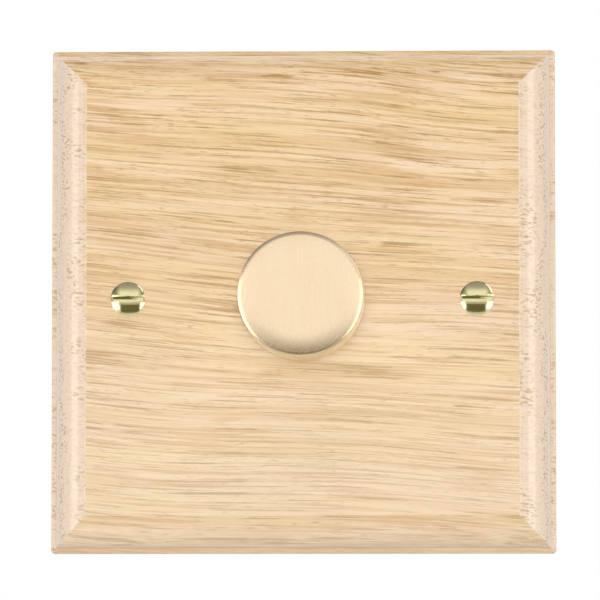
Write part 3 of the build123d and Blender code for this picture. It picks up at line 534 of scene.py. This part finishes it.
class Graph:
    """Short names for the shader nodes of one node tree."""

    def __init__(self, tree):
        self.tree = tree

    def node(self, kind, **settings):
        made = self.tree.nodes.new("ShaderNode" + kind)
        for key, value in settings.items():
            setattr(made, key, value)
        return made

    def join(self, source, target):
        self.tree.links.new(source, target)

    def put(self, socket, value):
        """Links a socket, or sets a constant."""
        if isinstance(value, bpy.types.NodeSocket):
            self.join(value, socket)
        else:
            socket.default_value = value

    def math(self, operation, first, second=0.0):
        made = self.node("Math", operation=operation)
        self.put(made.inputs[0], first)
        self.put(made.inputs[1], second)
        return made.outputs[0]

    def span(self, value, low, high, new_low=0.0, new_high=1.0):
        """Maps a range of values to another, without leaving it."""
        made = self.node("MapRange")
        self.put(made.inputs["Value"], value)
        made.inputs["From Min"].default_value = low
        made.inputs["From Max"].default_value = high
        made.inputs["To Min"].default_value = new_low
        made.inputs["To Max"].default_value = new_high
        return made.outputs["Result"]

    def mix(self, amount, first, second):
        made = self.node("Mix", data_type="RGBA")
        self.put(made.inputs["Factor"], amount)
        self.put(made.inputs[6], first)
        self.put(made.inputs[7], second)
        return made.outputs[2]

    def split(self, vector):
        """The X, Y and Z of a vector, by name."""
        made = self.node("SeparateXYZ")
        self.join(vector, made.inputs[0])
        return made.outputs

    def stretch(self, vector, scale):
        """A vector scaled along each axis."""
        made = self.node("VectorMath", operation="MULTIPLY")
        self.join(vector, made.inputs[0])
        made.inputs[1].default_value = scale
        return made.outputs[0]


class Finish(Graph):
    """A new material with one principled shader."""

    def __init__(self, name):
        self.material = bpy.data.materials.new(name)
        self.material.use_nodes = True
        super().__init__(self.material.node_tree)
        self.shader = self.tree.nodes["Principled BSDF"]

    def place(self, scale=(1, 1, 1), turn=(0, 0, 0)):
        """The piece's own coordinates in millimetres, turned and then scaled along each axis."""
        coords = self.node("TexCoord")
        turned = self.node("Mapping")
        turned.inputs["Rotation"].default_value = [math.radians(a) for a in turn]
        turned.inputs["Scale"].default_value = (1 / MM, 1 / MM, 1 / MM)
        self.join(coords.outputs["Object"], turned.inputs["Vector"])
        return self.stretch(turned.outputs["Vector"], scale)

    def noise(self, vector, detail, rough, warp=0.0):
        made = self.node("TexNoise")
        self.join(vector, made.inputs["Vector"])
        made.inputs["Scale"].default_value = 1.0
        made.inputs["Detail"].default_value = detail
        made.inputs["Roughness"].default_value = rough
        made.inputs["Distortion"].default_value = warp
        return made.outputs["Fac"]

    def bump(self, height, strength, distance):
        made = self.node("Bump")
        made.inputs["Strength"].default_value = strength
        made.inputs["Distance"].default_value = distance
        self.join(height, made.inputs["Height"])
        self.join(made.outputs["Normal"], self.shader.inputs["Normal"])

    def set(self, **values):
        """Links or sets the shader's inputs, named with _ for a space."""
        for key, value in values.items():
            self.put(self.shader.inputs[key.replace("_", " ")], value)


def colour(red, green, blue):
    """An sRGB colour, 0 to 255, as the linear values that a shader takes."""
    linear = []
    for value in (red, green, blue):
        v = value / 255
        linear.append(v / 12.92 if v <= 0.04045 else ((v + 0.055) / 1.055) ** 2.4)
    return (*linear, 1.0)


def darker(base, share):
    """A linear colour with less of it."""
    return (*(v * share for v in base[:3]), 1.0)


# Oak finish

OAK_YELLOW = colour(240, 207, 152)
OAK_PINK = colour(243, 210, 172)
OAK_BAND = colour(228, 192, 142)
OAK_STREAK = colour(218, 175, 116)
OAK_LIGHT = colour(247, 223, 190)
OAK_PATCH = colour(219, 172, 112)
OAK_STROKE = colour(209, 165, 102)
OAK_LINE = colour(182, 138, 70)
OAK_PORE = colour(170, 128, 72)
# Paler colour towards the bottom of the plate
OAK_FOOT = colour(247, 226, 200)
# End-grain ground, paler and whiter partly as painted lacquer sheen
OAK_END_AND_SHEEN = colour(238, 216, 194)
OAK_END_PORE = colour(193, 158, 120)
# Painted shade on the outer ledge
OAK_RIM_SHADE = colour(190, 156, 112)


def grain_place(g):
    """Coordinates in millimetres along the grain, which tilts and waves."""
    bend = g.noise(g.place((0.012, 0.012, 0.018)), 1.0, 0.5)
    shift = g.node("CombineXYZ")
    g.join(g.math("MULTIPLY", bend, GRAIN_BEND), shift.inputs["Z"])
    bent = g.node("VectorMath", operation="ADD")
    g.join(g.place((1, 1, 1), GRAIN_TURN), bent.inputs[0])
    g.join(shift.outputs[0], bent.inputs[1])
    return bent.outputs[0]


def long_grain(g, grain, place):
    """Colour of the wood along the grain, and the depth of its dark lines and of its pores."""
    hue = grain(0.016, 0.10, 0.16, 2.0, 0.3)
    band = grain(0.016, 0.30, 0.38, 2.0, 0.15)
    streak = grain(0.024, 0.85, 1.1)
    stroke = grain(0.034, 1.4, 1.8)
    line = grain(0.045, 2.2, 2.8)
    thread = grain(0.50, 4.2, 5.0)
    gate = grain(0.12, 0.45, 0.60, 2.0, 0.3)
    patch = grain(0.045, 0.20, 0.24, 3.0, 0.4)
    ragged = g.math("ADD", patch, g.math("MULTIPLY", stroke, 0.45))
    drawn = g.math("MULTIPLY", g.span(line, 0.53, 0.63), g.span(gate, 0.40, 0.54, 0.2, 1.0))
    pit = g.math("MULTIPLY", g.span(thread, 0.54, 0.68), g.span(gate, 0.42, 0.58, 0.25, 1.0))
    base = g.mix(g.span(hue, 0.40, 0.60), OAK_YELLOW, OAK_PINK)
    base = g.mix(g.span(band, 0.42, 0.64, 0.0, 0.25), base, OAK_BAND)
    base = g.mix(g.span(streak, 0.50, 0.64, 0.0, 0.42), base, OAK_STREAK)
    base = g.mix(g.span(streak, 0.34, 0.46, 0.4, 0.0), base, OAK_LIGHT)
    base = g.mix(g.span(ragged, 0.78, 0.88, 0.0, 0.5), base, OAK_PATCH)
    base = g.mix(g.span(stroke, 0.52, 0.64, 0.0, 0.74), base, OAK_STROKE)
    base = g.mix(g.math("MULTIPLY", drawn, 0.95), base, OAK_LINE)
    base = g.mix(g.math("MULTIPLY", pit, 0.6), base, OAK_PORE)
    # The wood is made paler towards the bottom of the plate
    base = g.mix(g.span(place["Z"], -BOARD_HALF, BOARD_HALF / 2, 0.38, 0.0), base, OAK_FOOT)
    return base, drawn, pit


def end_grain_and_sheen(g, grain, place):
    """Colour of the wood across the grain, with pores in wandering rows; its pale ground is partly the end
    grain's own colour and partly painted lacquer sheen.
    """
    dots = grain(0.8, 2.3, 2.3, 1.0, 0.0)
    wander = grain(0.02, 0.06, 0.07, 2.0, 0.3)
    ring = g.math("ADD", g.math("MULTIPLY", place["Y"], 2.0), g.math("MULTIPLY", wander, 20.0))
    row = g.span(g.math("SINE", ring), -0.3, 0.5, 0.25, 1.0)
    fleck = g.math("MULTIPLY", g.span(dots, 0.50, 0.66, 0.0, 0.95), row)
    return g.mix(fleck, OAK_END_AND_SHEEN, OAK_END_PORE)


def oak():
    """Pale lacquered oak from one solid figure: long grain along X, and end grain at the two sides, paler
    partly as painted sheen, with painted shade on the outer ledge.
    """
    g = Finish("oak_lacquered")
    bent = grain_place(g)

    def grain(along, deep, up, detail=2.0, warp=0.1):
        return g.noise(g.stretch(bent, (along, deep, up)), detail, 0.55, warp)

    place = g.split(g.place())
    base, drawn, pit = long_grain(g, grain, place)
    facing = g.split(g.node("NewGeometry").outputs["True Normal"])
    # Where the surface turns to the sides, and on the side ledges, the end-grain colour takes over; its
    # whiteness there is partly painted lacquer sheen
    turned = g.span(g.math("ABSOLUTE", facing["X"]), 0.01, 0.09)
    ledge = g.span(g.math("ABSOLUTE", place["X"]), LEDGE_AT - LEDGE_BLEND, LEDGE_AT)
    across = g.math("MULTIPLY", g.math("MAXIMUM", turned, ledge), 0.8)
    base = g.mix(across, base, end_grain_and_sheen(g, grain, place))
    # Painted shade darkens the outer ledge all round, most at the top and bottom and less at the sides
    rim_shade = g.span(g.math("ABSOLUTE", place["Z"]), LEDGE_AT - LEDGE_BLEND, LEDGE_AT)
    rim_shade = g.math("MAXIMUM", g.math("MULTIPLY", ledge, 0.4), rim_shade)
    base = g.mix(g.math("MULTIPLY", rim_shade, 0.35), base, OAK_RIM_SHADE)
    g.set(Base_Color=base, Roughness=g.span(pit, 0.0, 1.0, 0.38, 0.55), IOR=1.5, Specular_IOR_Level=0.3,
          Coat_Weight=1.0, Coat_Roughness=0.13, Coat_IOR=1.7)
    pores = g.math("ADD", pit, g.math("MULTIPLY", drawn, 0.6))
    g.bump(g.math("MULTIPLY", pores, -1.0), 0.2, PORE_HEIGHT)
    return g.material


# Other finishes

def satin_brass():
    """Brass with fine upright brushing on the face and a paler turned side."""
    g = Finish("brass_satin")
    line = g.noise(g.place((16.0, 16.0, 0.11)), 3.0, 0.7)
    cloud = g.noise(g.place((0.25, 0.25, 0.08)), 2.0, 0.5)
    normal = g.node("NewGeometry").outputs["Normal"]
    side = g.span(g.math("ABSOLUTE", g.split(normal)["Y"]), 0.05, 0.35, 1.0, 0.0)
    base = g.mix(g.span(line, 0.3, 0.7), (0.84, 0.65, 0.42, 1), (0.90, 0.71, 0.49, 1))
    base = g.mix(g.span(cloud, 0.3, 0.7, 0.0, 0.35), base, (0.91, 0.73, 0.52, 1))
    base = g.mix(side, base, (0.92, 0.88, 0.70, 1))
    across = g.node("VectorMath", operation="CROSS_PRODUCT")
    g.join(normal, across.inputs[0])
    across.inputs[1].default_value = (0.0, 0.12, 1.0)
    g.join(across.outputs[0], g.shader.inputs["Tangent"])
    g.set(Base_Color=base, Metallic=1.0, Roughness=g.span(line, 0.25, 0.75, 0.21, 0.33),
          Anisotropic=0.75)
    g.bump(line, 0.09, GRIT_HEIGHT)
    return g.material


def metal(name, base, rough, spread=0.06, scale=(0.6, 0.6, 0.6), wear=0.25, grit=0.05):
    """Bare or plated metal with cloudy colour, uneven polish and fine grit."""
    g = Finish(name)
    cloud = g.noise(g.place(scale), 4.0, 0.6)
    fine = g.noise(g.place((9.0, 9.0, 9.0)), 2.0, 0.6)
    g.set(Base_Color=g.mix(g.span(cloud, 0.35, 0.7, 0.0, wear), base, darker(base, 0.72)), Metallic=1.0,
          Roughness=g.span(cloud, 0.3, 0.7, rough - spread / 2, rough + spread / 2))
    g.bump(fine, grit, GRIT_HEIGHT)
    return g.material


def moulding(name, base, rough, grain=0.12, tone=0.12):
    """Moulded plastic with a fine spark-eroded grain and slight flow marks."""
    g = Finish(name)
    flow = g.noise(g.place((0.12, 0.2, 0.12)), 3.0, 0.5, 0.5)
    fine = g.noise(g.place((5.0, 5.0, 5.0)), 3.0, 0.6)
    g.set(Base_Color=g.mix(g.span(flow, 0.3, 0.7), base, darker(base, 1 - tone)),
          Roughness=g.span(fine, 0.3, 0.7, rough - 0.06, rough + 0.08), IOR=1.48)
    g.bump(fine, grain, PORE_HEIGHT)
    return g.material


def laminate():
    """Green solder mask over a woven glass laminate."""
    g = Finish("board_laminate")
    weave = g.node("TexBrick")
    g.join(g.place(), weave.inputs["Vector"])
    weave.inputs["Scale"].default_value = 0.9
    weave.inputs["Mortar Size"].default_value = 0.03
    cloud = g.noise(g.place((0.2, 0.2, 0.2)), 2.0, 0.5)
    base = g.mix(g.span(cloud, 0.3, 0.7), colour(24, 84, 52), colour(32, 104, 64))
    base = g.mix(g.span(weave.outputs["Fac"], 0.0, 1.0, 0.0, 0.25), base, colour(60, 130, 84))
    g.set(Base_Color=base, Roughness=g.span(cloud, 0.3, 0.7, 0.28, 0.4))
    return g.material


MATERIALS = {
    "oak": oak(),
    "satin_brass": satin_brass(),
    "polished_brass": metal("brass_polished", (0.78, 0.71, 0.39, 1), 0.12, 0.05,
                            (1.2, 1.2, 1.2), 0.15, 0.03),
    "zinc_steel": metal("steel_zinc", (0.62, 0.63, 0.64, 1), 0.36, 0.12, (0.35, 0.35, 0.35), 0.3, 0.08),
    "terminal_brass": metal("brass_terminal", (0.78, 0.61, 0.31, 1), 0.3, 0.1),
    "nickel": metal("nickel_plate", (0.66, 0.63, 0.58, 1), 0.22, 0.08),
    "spring_steel": metal("steel_spring", (0.5, 0.5, 0.51, 1), 0.28, 0.08),
    "tinned_metal": metal("tinned_metal", (0.72, 0.72, 0.71, 1), 0.34, 0.1),
    "contact_bronze": metal("bronze_contact", (0.74, 0.5, 0.3, 1), 0.28, 0.08),
    "sink_aluminium": metal("aluminium_sink", (0.76, 0.77, 0.78, 1), 0.38, 0.1, (0.3, 0.3, 6.0), 0.2, 0.1),
    "black_moulding": moulding("moulding_black", colour(34, 34, 36), 0.45),
    "grey_moulding": moulding("moulding_grey", colour(128, 130, 132), 0.42),
    "white_moulding": moulding("moulding_white", colour(226, 224, 216), 0.4),
    "phenolic": moulding("phenolic_brown", colour(112, 70, 40), 0.5, 0.18, 0.25),
    "board_laminate": laminate(),
    "film_box": moulding("film_box_yellow", colour(222, 182, 58), 0.4, 0.08),
    "can_sleeve": moulding("can_sleeve_blue", colour(40, 58, 104), 0.32, 0.06),
    "ferrite": moulding("ferrite_grey", colour(58, 56, 56), 0.55, 0.3, 0.2),
    "enamelled_copper": metal("copper_enamelled", (0.72, 0.32, 0.16, 1), 0.2, 0.06),
    "fuse_moulding": moulding("fuse_moulding_brown", colour(134, 92, 62), 0.4),
    "epoxy": moulding("epoxy_black", colour(30, 30, 32), 0.5, 0.25),
}


# Dressing of the part

def dress_nodes():
    """Gives each solid its finish, by the material slot that it was given in the record."""
    for obj in frame["nodes"].values():
        for slot in obj.material_slots:
            slot.material = MATERIALS[slot.material.name]


def stand_in(obj, node, slot):
    """Puts a modelled piece in a solid's place on the plate."""
    obj.data.materials.clear()
    obj.data.materials.append(MATERIALS[slot])
    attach(obj, "plate")
    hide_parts(node)


def build_pieces():
    """Makes the finer pieces and puts each in its solid's place, the spring with a mesh of its own."""
    stand_in(oak_plate(), "front_plate", "oak")
    for side in (-1, 1):
        stand_in(fixing_screw(side), "fixing_screws", "polished_brass")
    coil = spring()
    stand_in(coil, "return_spring", "spring_steel")
    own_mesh(coil)
    stand_in(choke_coil(), "choke_winding", "enamelled_copper")


# Camera, lamps and stage

def aim(obj, point):
    """Turns a camera or lamp to a point."""
    obj.rotation_euler = (point - obj.location).to_track_quat("-Z", "Y").to_euler()


def camera():
    """The photograph's view: nearly square to the plate, from slightly below and to its right."""
    data = bpy.data.cameras.new("camera")
    data.sensor_width = SENSOR
    data.lens = FOCAL_PIXELS / FRAME_PIXELS * SENSOR
    data.clip_start = CAMERA_NEAR
    obj = link("camera", data)
    obj.location = CAMERA_TARGET + CAMERA_DISTANCE * direction(CAMERA_AZIMUTH, CAMERA_ELEVATION)
    aim(obj, CAMERA_TARGET)
    bpy.context.scene.camera = obj


def area_lamp(name, width, height, power, place, diffuse=True, glossy=True):
    """A soft lamp aimed at the plate. It can leave dull surfaces dark, or show in no reflection."""
    data = bpy.data.lights.new(name, "AREA")
    data.shape = "RECTANGLE"
    data.size = width
    data.size_y = height
    data.energy = power
    obj = link(name, data)
    obj.location = place
    aim(obj, Vector((0, FIELD_Y, 0)))
    obj.visible_camera = False
    obj.visible_diffuse = diffuse
    obj.visible_glossy = glossy


def lamps():
    """Lamps in front, above and at the sides, and softboxes that only show as highlights."""
    edge = EDGE_LAMP_SIZE
    for side in (-1, 1):
        place = SOFTBOX_DISTANCE * direction(side * SOFTBOX_AZIMUTH, SOFTBOX_ELEVATION)
        area_lamp("softbox", SOFTBOX_WIDTH, SOFTBOX_HEIGHT, SOFTBOX_POWER, place, diffuse=False)
        place = EDGE_LAMP_DISTANCE * direction(side * EDGE_LAMP_AZIMUTH, EDGE_LAMP_ELEVATION)
        area_lamp("edge_lamp", edge, edge, EDGE_LAMP_POWER, place)
        area_lamp("edge_gloss", edge, edge, EDGE_GLOSS_POWER, place, diffuse=False)
    place = EDGE_LAMP_DISTANCE * direction(RIM_LAMP_AZIMUTH, RIM_LAMP_ELEVATION)
    area_lamp("rim_lamp", RIM_LAMP_SIZE, RIM_LAMP_SIZE, RIM_LAMP_POWER, place, diffuse=False)
    place = EDGE_LAMP_DISTANCE * direction(0, TOP_LAMP_ELEVATION)
    area_lamp("top_lamp", edge, edge, TOP_LAMP_POWER, place, glossy=False)
    place = FILL_DISTANCE * direction(FILL_AZIMUTH, FILL_ELEVATION)
    area_lamp("fill", FILL_SIZE, FILL_SIZE, FILL_POWER, place, glossy=False)


def sheet_object(name, corners, finish):
    """A flat sheet of the stage."""
    mesh = bpy.data.meshes.new(name)
    mesh.from_pydata(corners, [], [tuple(range(len(corners)))])
    mesh.materials.append(finish)
    obj = link(name, mesh)
    return obj


def plain_finish(name, shade, glow=0.0):
    """A dull stage surface, slightly uneven. Its glow makes it paler, and less so in reflections."""
    g = Finish(name)
    cloud = g.noise(g.place((0.01, 0.01, 0.01)), 2.0, 0.5)
    g.set(Base_Color=g.mix(cloud, (*shade, 1.0), darker(shade, 0.97)), Roughness=0.9)
    if glow:
        path = g.node("LightPath").outputs
        mirrored = g.math("MAXIMUM", path["Is Glossy Ray"], path["Is Transmission Ray"])
        mirrored = g.math("MULTIPLY", mirrored, FLOOR_GLOW_MIRRORED)
        seen = g.math("MAXIMUM", path["Is Camera Ray"], mirrored)
        g.set(Emission_Color=(1.0, 1.0, 1.0, 1.0), Emission_Strength=g.span(seen, 0.0, 1.0, 0.0, glow))
    return g.material


def stage():
    """The floor, and the flag that darkens the foot of each reflection."""
    h = FLOOR_HALF
    sheet_object("floor", [(-h, -h, FLOOR_Z), (h, -h, FLOOR_Z), (h, h, FLOOR_Z), (-h, h, FLOOR_Z)],
                 plain_finish("floor_pale", FLOOR_SHADE, FLOOR_GLOW))
    centre = FLAG_DISTANCE * direction(0, FLAG_ELEVATION)
    up = Vector((0, math.sin(math.radians(FLAG_ELEVATION)), math.cos(math.radians(FLAG_ELEVATION))))
    across = Vector((1, 0, 0))
    corners = [centre + across * x * FLAG_HALF_WIDTH + up * z * FLAG_HALF_HEIGHT
               for x, z in ((-1, -1), (1, -1), (1, 1), (-1, 1))]
    flag = sheet_object("dark_flag", corners, plain_finish("flag_dark", FLAG_SHADE))
    flag.visible_camera = False


def world():
    """A white backdrop behind the part, and a dimmer studio in front, brightest just above its axis."""
    made = bpy.data.worlds.new("studio")
    bpy.context.scene.world = made
    made.use_nodes = True
    g = Graph(made.node_tree)
    towards = g.split(g.node("TexCoord").outputs["Generated"])
    path = g.node("LightPath").outputs
    levels = g.node("ValToRGB")
    g.join(g.span(towards["Z"], -1.0, 1.0), levels.inputs["Fac"])
    stops = levels.color_ramp.elements
    while len(stops) < len(STUDIO_LEVELS):
        stops.new(0.5)
    for stop, (sine, level) in zip(stops, STUDIO_LEVELS):
        stop.position = (sine + 1) / 2
        stop.color = (level, level, level, 1)
    sides = g.span(g.math("ABSOLUTE", towards["X"]), STUDIO_SIDE_FROM, STUDIO_SIDE_TO, 1.0, STUDIO_SIDE)
    dull = g.span(path["Is Diffuse Ray"], 0.0, 1.0, 1.0, STUDIO_DULL)
    front = g.node("VectorMath", operation="SCALE")
    g.join(levels.outputs["Color"], front.inputs[0])
    g.join(g.math("MULTIPLY", sides, dull), front.inputs["Scale"])
    behind = g.span(towards["Y"], BACKDROP_FROM, BACKDROP_TO)
    white = g.math("MAXIMUM", path["Is Camera Ray"], behind)
    shade = g.mix(white, front.outputs[0], (BACKDROP_LEVEL, BACKDROP_LEVEL, BACKDROP_LEVEL, 1))
    g.join(shade, g.tree.nodes["Background"].inputs["Color"])


dress_nodes()
build_pieces()
camera()
lamps()
stage()
world()
bpy.context.scene.view_settings.view_transform = "Standard"
